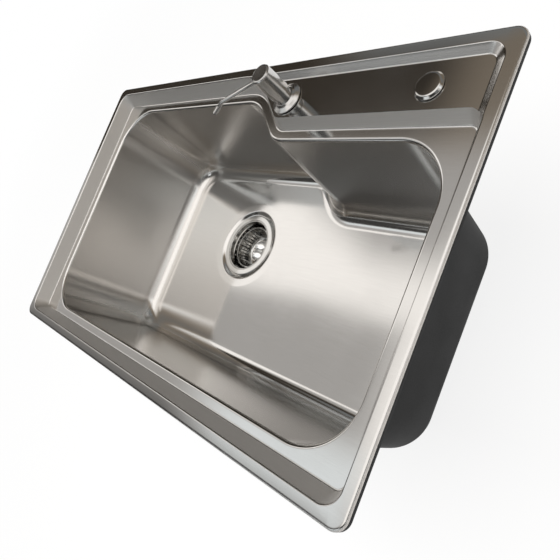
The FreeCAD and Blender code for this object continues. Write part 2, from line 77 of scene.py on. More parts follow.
def drawChain(bm, corners, steps):
    # A chain of edges in the XZ plane through (x, z, bend) corners
    spots = [Vector((x, 0, z)) for x, z, _ in corners]
    tip = bm.verts.new(spots[0])
    for index in range(1, len(corners)):
        here, bend = spots[index], corners[index][2]
        if bend == 0 or index == len(corners) - 1:
            tip = extrudeTo(bm, tip, here)
            continue
        inward = (here - spots[index - 1]).normalized()
        outward = (spots[index + 1] - here).normalized()
        turn = inward.angle(outward)
        axis = inward.cross(outward).normalized()
        begin = here - inward * bend * math.tan(turn / 2)
        if (begin - tip.co).length > 1e-7:
            tip = extrudeTo(bm, tip, begin)
        centre = begin + axis.cross(inward) * bend
        last = bmesh.ops.spin(bm, geom=[tip], cent=centre, axis=axis, angle=turn, steps=steps)["geom_last"]
        tip = [part for part in last if isinstance(part, bmesh.types.BMVert)][0]
    return bm


def planRuns(plan):
    # Straight runs and corner arcs round a closed plan of (x, y, bend), counterclockwise
    arcs = []
    for index, (x, y, bend) in enumerate(plan):
        corner = Vector((x, y, 0))
        before = Vector((*plan[index - 1][:2], 0))
        after = Vector((*plan[(index + 1) % len(plan)][:2], 0))
        inward = (corner - before).normalized()
        outward = (after - corner).normalized()
        turn = math.copysign(inward.angle(outward), inward.cross(outward).z)
        reach = bend * math.tan(abs(turn) / 2)
        begin = corner - inward * reach
        side = Vector((-inward.y, inward.x, 0)) * math.copysign(bend, turn)
        arcs.append((begin, corner + outward * reach, begin + side, turn))
    return arcs


def pushOn(bm, geom, step):
    # Carries a chain of edges straight on and gives back the new chain
    edges = [part for part in geom if isinstance(part, bmesh.types.BMEdge)]
    new = bmesh.ops.extrude_edge_only(bm, edges=edges)["geom"]
    verts = [part for part in new if isinstance(part, bmesh.types.BMVert)]
    bmesh.ops.translate(bm, verts=verts, vec=step)
    fresh = set(verts)
    return verts + [part for part in new if isinstance(part, bmesh.types.BMEdge)
                    and part.verts[0] in fresh and part.verts[1] in fresh]


def sweepPlan(bm, plan, corners, base, steps, planSteps=36):
    # Carries a section of (inset, z, bend) round a plan drawn at the inset called base
    arcs = planRuns(plan)
    start, along = arcs[-1][1], (arcs[0][0] - arcs[-1][1]).normalized()
    inward = Vector((-along.y, along.x, 0))
    section = bmesh.new()
    drawChain(section, corners, steps)
    place = Matrix((inward, -along, zAxis)).transposed().to_4x4()
    place.translation = start - inward * base
    section.transform(place)
    addTo(bm, section)
    geom = bm.verts[:] + bm.edges[:]
    ready = start
    for begin, end, centre, turn in arcs:
        # A short run beside each arc keeps the shading of the long one even
        run = begin - ready
        short = min(0.002, run.length * 0.2)
        for length in (short, run.length - 2 * short, short):
            geom = pushOn(bm, geom, run.normalized() * length)
        swung = bmesh.ops.spin(bm, geom=geom, cent=centre, axis=zAxis, angle=turn, steps=planSteps)
        geom = swung["geom_last"]
        ready = end
    weld(bm)
    return bm


def addTo(bm, other):
    mesh = bpy.data.meshes.new("joined")
    other.to_mesh(mesh)
    other.free()
    bm.from_mesh(mesh)
    bpy.data.meshes.remove(mesh)


def rawObject(bm, name):
    mesh = bpy.data.meshes.new(name)
    bm.to_mesh(mesh)
    bm.free()
    piece = bpy.data.objects.new(name, mesh)
    bpy.context.scene.collection.objects.link(piece)
    return piece


def finishPiece(piece, materials, body, nodes, sharp=35):
    for material in materials:
        piece.data.materials.append(material)
    piece.data.shade_smooth()
    piece.data.set_sharp_from_angle(angle=math.radians(sharp))
    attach(piece, body)
    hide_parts(*nodes)
    return piece


def evenNormals(piece):
    # Wide faces keep their own slope beside bends
    piece.modifiers.new("normals", "WEIGHTED_NORMAL").keep_sharp = True
    return piece


def lathe(bm, corners, centre, bendSteps, turnSteps):
    # Turns a section of (radius, z, bend) about an upright axis
    drawChain(bm, corners, bendSteps)
    bmesh.ops.spin(bm, geom=bm.verts[:] + bm.edges[:], cent=(0, 0, 0), axis=zAxis,
                   angle=2 * math.pi, steps=turnSteps, use_merge=True)
    weld(bm)
    bmesh.ops.translate(bm, verts=bm.verts[:], vec=(centre[0], centre[1], 0))
    return bm


# Finishes

def addNode(tree, kind, inputs=None, **settings):
    node = tree.nodes.new(kind)
    for name, value in settings.items():
        setattr(node, name, value)
    for name, value in (inputs or {}).items():
        if isinstance(value, bpy.types.NodeSocket):
            tree.links.new(value, node.inputs[name])
        else:
            node.inputs[name].default_value = value
    return node


def newGroup(name, inputs, outputs):
    group = bpy.data.node_groups.new(name, "ShaderNodeTree")
    for label, kind in inputs:
        group.interface.new_socket(name=label, in_out="INPUT", socket_type=kind)
    for label, kind in outputs:
        group.interface.new_socket(name=label, in_out="OUTPUT", socket_type=kind)
    return group, group.nodes.new("NodeGroupInput").outputs, group.nodes.new("NodeGroupOutput")


def worked(tree, operation, first, second):
    return addNode(tree, "ShaderNodeMath", {0: first, 1: second}, operation=operation).outputs[0]


def eased(tree, value, start, end, low=0, high=1):
    # A soft ramp from low to high
    ends = {"Value": value, "From Min": start, "From Max": end, "To Min": low, "To Max": high}
    return addNode(tree, "ShaderNodeMapRange", ends, interpolation_type="SMOOTHSTEP").outputs[0]


def scaled(tree, value, low, high):
    return addNode(tree, "ShaderNodeMapRange", {"Value": value, "To Min": low, "To Max": high}).outputs[0]


def mixed(tree, share, dark, light):
    return addNode(tree, "ShaderNodeMix", {0: share, 2: dark, 3: light}).outputs[0]


def blendTones(tree, share, dark, light):
    dark, light = [tone if isinstance(tone, bpy.types.NodeSocket) else (*tone, 1) for tone in (dark, light)]
    return addNode(tree, "ShaderNodeMix", {0: share, 6: dark, 7: light}, data_type="RGBA").outputs[2]


def makeBrushing():
    # Fine streaks along X
    group, given, result = newGroup(
        "brushing",
        [("Place", "NodeSocketVector"), ("Fineness", "NodeSocketFloat"), ("Length", "NodeSocketFloat")],
        [("Streak", "NodeSocketFloat")])
    fine = given["Fineness"]
    along = worked(group, "DIVIDE", fine, given["Length"])
    stretch = addNode(group, "ShaderNodeCombineXYZ", {0: along, 1: fine, 2: fine}).outputs[0]
    spread = addNode(group, "ShaderNodeVectorMath", {0: given["Place"], 1: stretch}, operation="MULTIPLY")
    noise = addNode(group, "ShaderNodeTexNoise",
                    {"Vector": spread.outputs[0], "Scale": 1, "Detail": 2, "Roughness": 0.6})
    group.links.new(noise.outputs["Fac"], result.inputs["Streak"])
    return group


def makeHandling():
    # Soft patches where a surface has been wiped and touched
    group, given, result = newGroup(
        "handling", [("Place", "NodeSocketVector"), ("Patches", "NodeSocketFloat")],
        [("Patch", "NodeSocketFloat")])
    noise = addNode(group, "ShaderNodeTexNoise",
                    {"Vector": given["Place"], "Scale": given["Patches"], "Detail": 3,
                     "Roughness": 0.55, "Distortion": 0.4})
    group.links.new(eased(group, noise.outputs["Fac"], 0.38, 0.66), result.inputs["Patch"])
    return group


def makeMottle():
    # Small grain over a broad change of tone, for coatings, rubber and moulded plastic
    group, given, result = newGroup(
        "mottle", [("Place", "NodeSocketVector"), ("Grain", "NodeSocketFloat")],
        [("Height", "NodeSocketFloat"), ("Tone", "NodeSocketFloat")])
    fine, broad = [addNode(group, "ShaderNodeTexNoise",
                           {"Vector": given["Place"], "Scale": scale, "Detail": detail}).outputs["Fac"]
                   for scale, detail in ((given["Grain"], 3), (14, 2))]
    even = addNode(group, "ShaderNodeMapRange",
                   {"Value": worked(group, "MULTIPLY", fine, broad), "From Min": 0.12, "From Max": 0.4})
    group.links.new(fine, result.inputs["Height"])
    group.links.new(even.outputs[0], result.inputs["Tone"])
    return group


brushing, handling, mottle = makeBrushing(), makeHandling(), makeMottle()


def startFinish(name):
    material = bpy.data.materials.new(name)
    material.use_nodes = True
    tree = material.node_tree
    place = addNode(tree, "ShaderNodeTexCoord").outputs["Object"]
    return material, tree, tree.nodes["Principled BSDF"], place


def wireUp(tree, shader, tone, rough, height, relief, depth):
    bump = addNode(tree, "ShaderNodeBump", {"Height": height, "Strength": relief, "Distance": depth})
    tree.links.new(tone, shader.inputs["Base Color"])
    tree.links.new(rough, shader.inputs["Roughness"])
    tree.links.new(bump.outputs[0], shader.inputs["Normal"])


def makeMetal(name, dark, light, smooth, dull, fineness, length, relief):
    material, tree, shader, place = startFinish(name)
    streak = addNode(tree, "ShaderNodeGroup", {"Place": place, "Fineness": fineness, "Length": length},
                     node_tree=brushing).outputs["Streak"]
    patch = addNode(tree, "ShaderNodeGroup", {"Place": place, "Patches": 9},
                    node_tree=handling).outputs["Patch"]
    rough = scaled(tree, worked(tree, "MULTIPLY", streak, patch), smooth, dull)
    shader.inputs["Metallic"].default_value = 1
    wireUp(tree, shader, blendTones(tree, streak, dark, light), rough, streak, relief, depth=0.0001)
    return material


def makeMoulded(name, dark, light, smooth, dull, grain, relief):
    material, tree, shader, place = startFinish(name)
    cast = addNode(tree, "ShaderNodeGroup", {"Place": place, "Grain": grain}, node_tree=mottle).outputs
    rough = scaled(tree, cast["Tone"], smooth, dull)
    tone = blendTones(tree, cast["Tone"], dark, light)
    wireUp(tree, shader, tone, rough, cast["Height"], relief, depth=0.0002)
    return material


def brushAcross(material, amount):
    # Stretches the gloss across brush lines that run along X and level round the walls
    tree = material.node_tree
    shader = tree.nodes["Principled BSDF"]
    normal = addNode(tree, "ShaderNodeNewGeometry").outputs["Normal"]
    lines = addNode(tree, "ShaderNodeVectorMath", {0: normal, 1: (0, 0.3, 1)}, operation="CROSS_PRODUCT")
    shader.inputs["Anisotropic"].default_value = amount
    shader.inputs["Anisotropic Rotation"].default_value = 0.25
    tree.links.new(lines.outputs[0], shader.inputs["Tangent"])


slopes = {
    "walls": (0.7, 0.25, 0.23),  # upward share of the normal where it begins and is full, and roughness
    "ends": (0.3, 0.8, 0.28),  # the same along X
    # Paler base colour painted on faces turned along X, as painted light
    "paintedLightTone": (0.97, 0.94, 0.905),
    "paintedLightShare": 0.8,
    "step": (0.9, 0.7, 0.68),
    "stepSpan": (-0.014, 0.008),
    "soft": 0.002,
}


def dullSlopes(material):
    # Duller on the drawn walls, dullest on the step between two heights; those that face along X are duller
    # and painted paler, as painted light
    tree = material.node_tree
    shader = tree.nodes["Principled BSDF"]
    rough = shader.inputs["Roughness"].links[0].from_socket
    tone = shader.inputs["Base Color"].links[0].from_socket
    place = addNode(tree, "ShaderNodeTexCoord").outputs["Object"]
    normal = addNode(tree, "ShaderNodeNewGeometry").outputs["Normal"]
    height = addNode(tree, "ShaderNodeSeparateXYZ", {0: place}).outputs["Z"]
    slope = addNode(tree, "ShaderNodeSeparateXYZ", {0: normal}).outputs
    begin, full, dull = slopes["walls"]
    rough = mixed(tree, eased(tree, slope["Z"], begin, full), rough, dull)
    begin, full, dull = slopes["ends"]
    end = eased(tree, slope["X"], begin, full)
    rough = mixed(tree, end, rough, dull)
    # Painted light: faces turned along X get a paler base colour
    tone = blendTones(tree, worked(tree, "MULTIPLY", end, slopes["paintedLightShare"]), tone, slopes["paintedLightTone"])
    begin, full, dull = slopes["step"]
    (low, high), soft = slopes["stepSpan"], slopes["soft"]
    share = eased(tree, slope["Z"], begin, full)
    for start, stop in ((low, low + soft), (high, high - soft)):
        share = worked(tree, "MULTIPLY", share, eased(tree, height, start, stop))
    tree.links.new(tone, shader.inputs["Base Color"])
    tree.links.new(mixed(tree, share, rough, dull), shader.inputs["Roughness"])


def setShader(material, values):
    for name, value in values.items():
        material.node_tree.nodes["Principled BSDF"].inputs[name].default_value = value


sinkSteel = makeMetal("sinkSteel", dark=(0.70, 0.685, 0.665), light=(0.79, 0.775, 0.755),
                      smooth=0.10, dull=0.14, fineness=1500, length=40, relief=0.006)
brushAcross(sinkSteel, 0.6)
dullSlopes(sinkSteel)
strainerSteel = makeMetal("strainerSteel", dark=(0.62, 0.61, 0.59), light=(0.72, 0.71, 0.69),
                          smooth=0.08, dull=0.16, fineness=1200, length=6, relief=0.03)
knobChrome = makeMetal("knobChrome", dark=(0.86, 0.86, 0.85), light=(0.92, 0.92, 0.91),
                       smooth=0.08, dull=0.12, fineness=900, length=4, relief=0.005)
brightChrome = makeMetal("brightChrome", dark=(0.62, 0.61, 0.595), light=(0.68, 0.67, 0.655),
                         smooth=0.20, dull=0.27, fineness=900, length=4, relief=0.01)
# Dark coat of the underside, also put on the rim's outer edge as painted shade
underCoatAndEdgeShade = makeMoulded("underCoatAndEdgeShade", dark=(0.006, 0.006, 0.0062), light=(0.011, 0.011, 0.0112),
                        smooth=0.6, dull=0.75, grain=900, relief=0.35)
setShader(underCoatAndEdgeShade, {"Specular IOR Level": 0.3})
sealRubber = makeMoulded("sealRubber", dark=(0.014, 0.014, 0.014), light=(0.026, 0.026, 0.026),
                         smooth=0.68, dull=0.82, grain=700, relief=0.2)
whitePlastic = makeMoulded("whitePlastic", dark=(0.74, 0.74, 0.72), light=(0.82, 0.82, 0.80),
                           smooth=0.38, dull=0.5, grain=500, relief=0.1)
blackPlastic = makeMoulded("blackPlastic", dark=(0.024, 0.024, 0.025), light=(0.04, 0.04, 0.041),
                           smooth=0.4, dull=0.55, grain=500, relief=0.15)
clearPlastic = makeMoulded("clearPlastic", dark=(0.86, 0.88, 0.87), light=(0.92, 0.94, 0.93),
                           smooth=0.18, dull=0.32, grain=60, relief=0.1)
setShader(clearPlastic, {"Transmission Weight": 0.9, "IOR": 1.46})
print("finishes", len(bpy.data.materials))

# Sink shell

sink = {
    "sheet": 0.001,
    "length": 0.75,
    "width": 0.45,
    "rimTop": 0.008,
    "rimCorner": 0.015,
    "rimBend": 0.003,
    "rimFall": 0.0003,  # slope of the rim to its edge
    "band": 0.0135,
    "stepRun": 0.011,
    "ledge": -0.013,
    "stepCorner": 0.020,
    "topBend": 0.002,
    "footBend": 0.003,
    "deck": 0.0025,
    "deckRun": 0.0085,
    "deckStart": -0.04,
    "deckFront": 0.1505,
    "deckEnd": 0.088,
    "deckBend": 0.002,
    "bowlInset": 0.039,
    "floor": -0.197,
    "lean": 4.5,
    "bowlCorner": 0.066,
    "noseBend": 0.040,
    "heelBend": 0.054,
    "lipBend": 0.004,
    "floorBend": 0.026,
    "dishFoot": 0.0583,
    "dishRadius": 0.0640,
    "dishReach": 0.078,
    "dishFall": 0.0005,  # from its reach to the dish
    "dishBend": 0.006,
    "dishEasing": 0.1,
    "seat": -0.201,
    "drainHole": 0.045,
    "serviceHole": 0.014,
    "flat": 0.001,  # narrow flat beside a bend
    "lid": 0.01,  # height of the hollows above the rim
    "manySides": 40,  # more sides than any face of a bend has
    "leaning": 0.9,  # upward share of the normal below which a face isn't flat
    "upright": 0.1,  # and below which it stands
}


def boxPlan(inset, corner):
    x, y = sink["length"] / 2 - inset, sink["width"] / 2 - inset
    return [(-x, -y, corner), (x, -y, corner), (x, y, corner), (-x, y, corner)]


def deckPlan(inset, corner):
    # Only the rear right part of the rim's outline, with its other ends over the bowl
    x, y = sink["length"] / 2 - inset, sink["width"] / 2 - inset
    low = sink["deckFront"] - 2 * sink["bowlInset"]
    start = sink["deckStart"]
    return [(start, low, corner), (x, low, corner), (x, y, corner), (start, y, corner)]


def bowlPlan(inset, corner):
    # The bowl's outline gives way to the tap deck behind its right half
    x, y = sink["length"] / 2 - inset, sink["width"] / 2 - inset
    slope = sink["stepRun"] / (sink["rimTop"] - sink["ledge"])
    inward = inset - sink["band"] - slope * (sink["rimTop"] - sink["deck"])
    front = sink["deckFront"] - inward
    diagonal = math.sqrt(0.5)
    reach = (sink["deckEnd"] + sink["deckFront"]) - inward / diagonal
    nose = sink["noseBend"] - sink["bowlInset"] + inset
    heel = sink["heelBend"] + sink["bowlInset"] - inset
    return [(-x, -y, corner), (x, -y, corner), (x, front, corner),
            (reach - front, front, nose), (reach - y, y, heel), (-x, y, corner)]


def closedHollow(plan, run, foot, name):
    # The space over the step or the deck, closed above and below, to be joined with the other
    top = sink["rimTop"]
    turn = math.atan2(top - foot, run)
    start = sink["band"] - sink["topBend"] * math.tan(turn / 2) - sink["flat"] / 2
    end = sink["band"] + run + sink["footBend"] * math.tan(turn / 2) + sink["flat"]
    bm = bmesh.new()
    sweepPlan(bm, plan, [(start, top + sink["lid"], 0), (start, top, 0), (sink["band"], top, sink["topBend"]),
                         (sink["band"] + run, foot, sink["footBend"]), (end, foot, 0)], sink["band"], 8)
    bmesh.ops.holes_fill(bm, edges=bm.edges[:], sides=0)
    turnOutward(bm)
    return rawObject(bm, name)


def fillBetween(bm, low, high):
    # Closes the sheet across the open edges between two heights
    edges = [edge for edge in bm.edges if edge.is_boundary
             and all(low - level < vert.co.z < high + level for vert in edge.verts)]
    bmesh.ops.triangle_fill(bm, edges=edges, use_beauty=True, normal=zAxis)
    print("sheet at", round(high, 4), "from", len(edges), "edges")


def wideFaces(bm, height):
    # The large flat faces at one height
    return [face for face in bm.faces if len(face.verts) > sink["manySides"]
            and abs(face.calc_center_median().z - height) < merge]


def edgesAt(bm, height):
    return [edge for edge in bm.edges if all(abs(vert.co.z - height) < level for vert in edge.verts)]


def joinHollows():
    # The hollows of the step and of the deck as one mesh
    corner = sink["stepCorner"]
    stepHollow = closedHollow(bowlPlan(sink["band"], corner), sink["stepRun"], sink["ledge"], "stepHollow")
    deckHollow = closedHollow(deckPlan(sink["band"], corner), sink["deckRun"], sink["deck"], "deckHollow")
    union = stepHollow.modifiers.new("deck", "BOOLEAN")
    union.operation, union.object, union.solver = "UNION", deckHollow, "EXACT"
    joined = stepHollow.evaluated_get(bpy.context.evaluated_depsgraph_get()).to_mesh()
    bm = bmesh.new()
    bm.from_mesh(joined)
    bpy.data.objects.remove(stepHollow)
    bpy.data.objects.remove(deckHollow)
    weld(bm)
    return bm


def shapeDeck(bm):
    # Takes the lids off the hollows, rounds the deck's front edge and opens its two holes
    top, ledge, deck, flat = sink["rimTop"], sink["ledge"], sink["deck"], sink["flat"]
    lids = [face for face in bm.faces if face.calc_center_median().z > top + merge]
    bmesh.ops.delete(bm, geom=lids + wideFaces(bm, ledge), context="FACES")
    front = [edge for edge in edgesAt(bm, deck) if len(edge.link_faces) == 2
             and min(abs(face.normal.z) for face in edge.link_faces) < sink["leaning"]]
    print("deck front edges", len(front))
    slope = math.atan2(top - ledge, sink["stepRun"])
    bmesh.ops.bevel(bm, geom=front, offset=sink["deckBend"] * math.tan(slope / 2), offset_type="OFFSET",
                    affect="EDGES", segments=6, profile=0.5, material=-1, clamp_overlap=True)
    plateau = wideFaces(bm, deck)
    print("plateau faces", len(plateau), "area", sum(face.calc_area() for face in plateau))
    bmesh.ops.inset_region(bm, faces=plateau, thickness=flat, use_even_offset=True)
    bmesh.ops.delete(bm, geom=plateau, context="FACES_ONLY")
    hole, holes = sink["serviceHole"], []
    for node in ("pump_flange", "cover_cap"):
        low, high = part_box(node)
        place = Matrix.Translation(((low.x + high.x) / 2, (low.y + high.y) / 2, deck))
        circle = bmesh.ops.create_circle(bm, cap_ends=False, radius=hole + flat, segments=64, matrix=place)
        holes.append((place, set(circle["verts"])))
    edges = [edge for edge in edgesAt(bm, deck) if len(edge.link_faces) < 2]
    bmesh.ops.triangle_fill(bm, edges=edges, use_beauty=True, normal=zAxis)
    # A flat ring round each hole keeps the deck's shading even
    shrink = hole / (hole + flat)
    for place, verts in holes:
        loop = [edge for edge in bm.edges if edge.is_boundary and verts.issuperset(edge.verts)]
        ring = bmesh.ops.extrude_edge_only(bm, edges=loop)["geom"]
        inner = [part for part in ring if isinstance(part, bmesh.types.BMVert)]
        bmesh.ops.scale(bm, vec=(shrink, shrink, 1), space=place.inverted(), verts=inner)


def makeRimEdge():
    bm = bmesh.new()
    top, fall, edge = sink["rimTop"], sink["rimFall"], sink["rimBend"] + sink["flat"]
    section = [(edge, top - fall * (1 - edge / sink["band"]), 0), (0, top - fall, sink["rimBend"]), (0, 0, 0)]
    sweepPlan(bm, boxPlan(0, sink["rimCorner"]), section, 0, 8)
    return bm


def makeBowl():
    bm = bmesh.new()
    inset, ledge, floor = sink["bowlInset"], sink["ledge"], sink["floor"]
    lean = (ledge - floor) * math.tan(math.radians(sink["lean"]))
    half = math.radians(90 - sink["lean"]) / 2
    start = inset - sink["lipBend"] * math.tan(half) - sink["flat"]
    end = inset + lean + sink["floorBend"] * math.tan(half) + sink["flat"]
    section = [(start, ledge, 0), (inset, ledge, sink["lipBend"]),
               (inset + lean, floor, sink["floorBend"]), (end, floor, 0)]
    sweepPlan(bm, bowlPlan(inset, sink["bowlCorner"]), section, inset, 16)
    return bm


def makeDish():
    bm = bmesh.new()
    low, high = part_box("strainer_body")
    floor, seat, bend = sink["floor"], sink["seat"], sink["dishBend"]
    radius, reach, fall = sink["dishRadius"], sink["dishReach"], sink["dishFall"]
    ease = sink["dishEasing"] * fall / (reach - radius)
    lathe(bm, [(reach + ease, floor, 0), (reach, floor, sink["dishEasing"]), (radius, floor - fall, bend),
               (sink["dishFoot"], seat, bend), (sink["drainHole"], seat, 0)],
          ((low.x + high.x) / 2, (low.y + high.y) / 2), 10, 128)
    return bm


def makeSinkShell():
    top, ledge, floor = sink["rimTop"], sink["ledge"], sink["floor"]
    bm = joinHollows()
    shapeDeck(bm)
    # Rim edge, bowl and drain dish join on at flat sheets
    for part in (makeRimEdge(), makeBowl(), makeDish()):
        addTo(bm, part)
    weld(bm)
    for low, high in ((top - sink["rimFall"], top), (ledge, ledge), (floor, floor)):
        fillBetween(bm, low, high)
    turnOutward(bm)
    if sum(face.normal.z * face.calc_area() for face in bm.faces) < 0:
        bmesh.ops.reverse_faces(bm, faces=bm.faces[:])
    # The dark coat is also put on the outer edge as far as its bend, as a painted dark reflection on the
    # steel edge
    for face in bm.faces:
        middle = face.calc_center_median()
        if abs(face.normal.z) < sink["upright"] and -level < middle.z < top - sink["rimBend"]:
            face.material_index = 1
    piece = rawObject(bm, "sinkShell")
    sheet = [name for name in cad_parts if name.startswith(("sink_", "wall_", "corner_", "bend_"))]
    finishPiece(piece, [sinkSteel, underCoatAndEdgeShade], "sink", sheet, 40)
    wall = piece.modifiers.new("wall", "SOLIDIFY")
    wall.thickness, wall.offset = sink["sheet"], -1
    wall.use_even_offset = True
    wall.material_offset = 1
    return evenNormals(piece)


sinkShell = makeSinkShell()
print("sink shell", len(sinkShell.data.polygons), "faces")


# Turned, threaded and cut shapes

def turnedPiece(name, corners, centre, material, body, node, bendSteps=6, turnSteps=96, sharp=32):
    bm = bmesh.new()
    lathe(bm, corners, centre, bendSteps, turnSteps)
    turnOutward(bm)
    return evenNormals(finishPiece(rawObject(bm, name), [material], body, [node], sharp))


def middleOf(node):
    low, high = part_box(node)
    return (low + high) / 2


def ridges(radius, depth, start, end, count):
    # Rounded thread crests down a turned side, from start to end
    pitch = (end - start) / count
    corners = []
    for turn in range(count):
        z = start + turn * pitch
        corners += [(radius - depth, z + pitch * 0.1, 0), (radius, z + pitch * 0.4, 0),
                    (radius, z + pitch * 0.6, 0), (radius - depth, z + pitch * 0.9, 0)]
    return corners


def cutAway(piece, cutter):
    # Takes one raw object's shape out of another's mesh
    cut = piece.modifiers.new("cut", "BOOLEAN")
    cut.operation, cut.object, cut.solver = "DIFFERENCE", cutter, "EXACT"
    solid = bpy.data.meshes.new_from_object(piece.evaluated_get(bpy.context.evaluated_depsgraph_get()))
    piece.modifiers.remove(cut)
    bpy.data.objects.remove(cutter)
    piece.data = solid
    return piece


def roundedBox(size, centre, edge):
    bm = bmesh.new()
    bmesh.ops.create_cube(bm, size=1, matrix=Matrix.Translation(centre) @ Matrix.Diagonal((*size, 1)))
    bmesh.ops.bevel(bm, geom=bm.edges[:], offset=edge, affect="EDGES", segments=3, profile=0.5, material=-1)
    return bm


# Drain

drain = {
    "centre": middleOf("strainer_body").xy,
    "outlet": (0.0219, 0.0239),
    "cup": 0.0425,
    "flange": 0.057,
    "top": -0.198,
    "foot": -0.250,
    "end": -0.284,
    "sheet": 0.002,
    "insideBends": (0.003, 0.006),
    "outsideBends": (0.002, 0.007, 0.001),
    "seat": [(-0.0006, -0.2125), (0, -0.2115), (0, -0.2045)],  # out from the cup, and height
    "ring": [  # out from the cup, down from the top, and bend
        (0.0017, 0.0014, 0.0008),
        (0.0021, 0.0003, 0.0003),
        (0.0029, 0.0003, 0.0003),
        (0.0033, 0.0013, 0.0003),
        (0.0043, 0.0013, 0.0003),
        (0.0049, 0, 0.0005),
    ],
    "edge": (0.003, 0.0022),  # fall and bend of the flange's edge
    "threads": (11, 0.0006),  # count and depth
    "spider": (0.004, 0.005, -0.2625),  # bar width, height and middle
    "hub": (0.0028, 0.007),  # bore and radius
    "softEdge": 0.0008,
}


def makeStrainerBody():
    inner, outer = drain["outlet"]
    cup, flange, top, foot, end = drain["cup"], drain["flange"], drain["top"], drain["foot"], drain["end"]
    sheet, soft = drain["sheet"], drain["softEdge"]
    outletBend, footBend = drain["insideBends"]
    neckBend, underBend, tailBend = drain["outsideBends"]
    fall, edgeBend = drain["edge"]
    threads, depth = drain["threads"]
    corners = [(inner, end, 0), (inner, foot - 2 * sheet, outletBend), (cup - sheet, foot, footBend),
               *[(cup + out, z, 0.0004) for out, z in drain["seat"]],
               *[(cup + out, top - down, bend) for out, down, bend in drain["ring"]],
               (flange, top, edgeBend), (flange, top - fall, 0), (flange - sheet, top - fall, 0),
               (flange - sheet, top - sheet, 0), (cup + sheet, top - sheet, neckBend),
               (cup, foot - sheet, underBend), (outer, foot - 3 * sheet, tailBend),
               *ridges(outer, depth, foot - 4 * sheet, end + 0.001, threads),
               (outer - depth, end, 0), (inner, end, 0)]
    bm = bmesh.new()
    lathe(bm, corners, (0, 0), 6, 128)
    turnOutward(bm)
    # Spider: two crossed bars and a hub in the outlet
    width, height, z = drain["spider"]
    for turn in (0, math.pi / 2):
        bar = roundedBox((2 * inner + 0.001, width, height), (0, 0, z), soft)
        bar.transform(Matrix.Rotation(turn, 4, "Z"))
        addTo(bm, bar)
    bore, radius = drain["hub"]
    low, high = z - height / 2, z + height / 2
    hub = bmesh.new()
    lathe(hub, [(bore, low, 0), (radius, low, soft), (radius, high, soft), (bore, high, 0), (bore, low, 0)],
          (0, 0), 4, 48)
    turnOutward(hub)
    addTo(bm, hub)
    bmesh.ops.translate(bm, verts=bm.verts[:], vec=(*drain["centre"], 0))
    piece = rawObject(bm, "strainerBody")
    return evenNormals(finishPiece(piece, [strainerSteel], "sink", ["strainer_body"]))


basket = {
    "rim": (0.039, -0.209),
    "rimEdge": (0.0025, 0.0012),  # width and fall
    "foot": (0.031, -0.238),
    "bore": 0.0041,
    "sheet": 0.0008,
    "bend": 0.005,
    "slots": 36,
    "slot": (0.0016, -0.233, -0.213),  # width and ends
    "slotReach": (0.036, 0.02),  # middle and depth of the cut
    "holes": 12,
    "hole": (0.0022, 0.021, 0.006),  # radius, place and depth of the cut
}


def makeBasket():
    (rim, top), (foot, low), (width, fall) = basket["rim"], basket["foot"], basket["rimEdge"]
    sheet, bend, bore = basket["sheet"], basket["bend"], basket["bore"]
    wall = rim - width
    bm = bmesh.new()
    lathe(bm, [(bore, low, 0), (foot, low, bend), (wall, top, 0.0006), (rim, top - fall, 0.0003),
               (rim, top - fall - sheet, 0.0003), (wall + sheet, top - sheet, 0.0004),
               (foot + sheet, low - sheet, bend + sheet), (bore, low - sheet, 0), (bore, low, 0)],
          (0, 0), 6, 144)
    turnOutward(bm)
    cup = rawObject(bm, "basketCup")
    tools = bmesh.new()
    width, slotLow, slotHigh = basket["slot"]
    middle, depth = basket["slotReach"]
    for turn in range(basket["slots"]):
        tool = bmesh.new()
        size = Matrix.Diagonal((depth, width, slotHigh - slotLow, 1))
        place = Matrix.Translation((middle, 0, (slotLow + slotHigh) / 2))
        bmesh.ops.create_cube(tool, size=1, matrix=place @ size)
        ends = [edge for edge in tool.edges if abs(edge.verts[0].co.x - edge.verts[1].co.x) > depth / 2]
        bmesh.ops.bevel(tool, geom=ends, offset=width * 0.48, affect="EDGES", segments=5, profile=0.5,
                        material=-1)
        tool.transform(Matrix.Rotation(2 * math.pi * turn / basket["slots"], 4, "Z"))
        addTo(tools, tool)
    radius, reach, depth = basket["hole"]
    for turn in range(basket["holes"]):
        around = Matrix.Rotation(2 * math.pi * turn / basket["holes"], 4, "Z")
        spot = around @ Matrix.Translation((reach, 0, low))
        bmesh.ops.create_cone(tools, cap_ends=True, segments=24, radius1=radius, radius2=radius, depth=depth,
                              matrix=spot)
    piece = cutAway(cup, rawObject(tools, "basketTools"))
    piece.data.transform(Matrix.Translation((*drain["centre"], 0)))
    return finishPiece(piece, [strainerSteel], "basket", ["basket"], 28)


knob = {
    "foot": 0.008,
    "low": -0.234,
    "rim": -0.2305,
    "top": -0.222,
    "stem": 0.0062,
    "bore": (0.004, 0.0065),  # radius and depth
    "lobe": (0.0108, 0.0082, 0.0032),  # half sizes along X, Y and Z
    "lobeTurn": 18,  # degrees about Y
    "lobeDrop": 1.6,  # middle below the top, in half heights
    "apart": 0.0168,
}


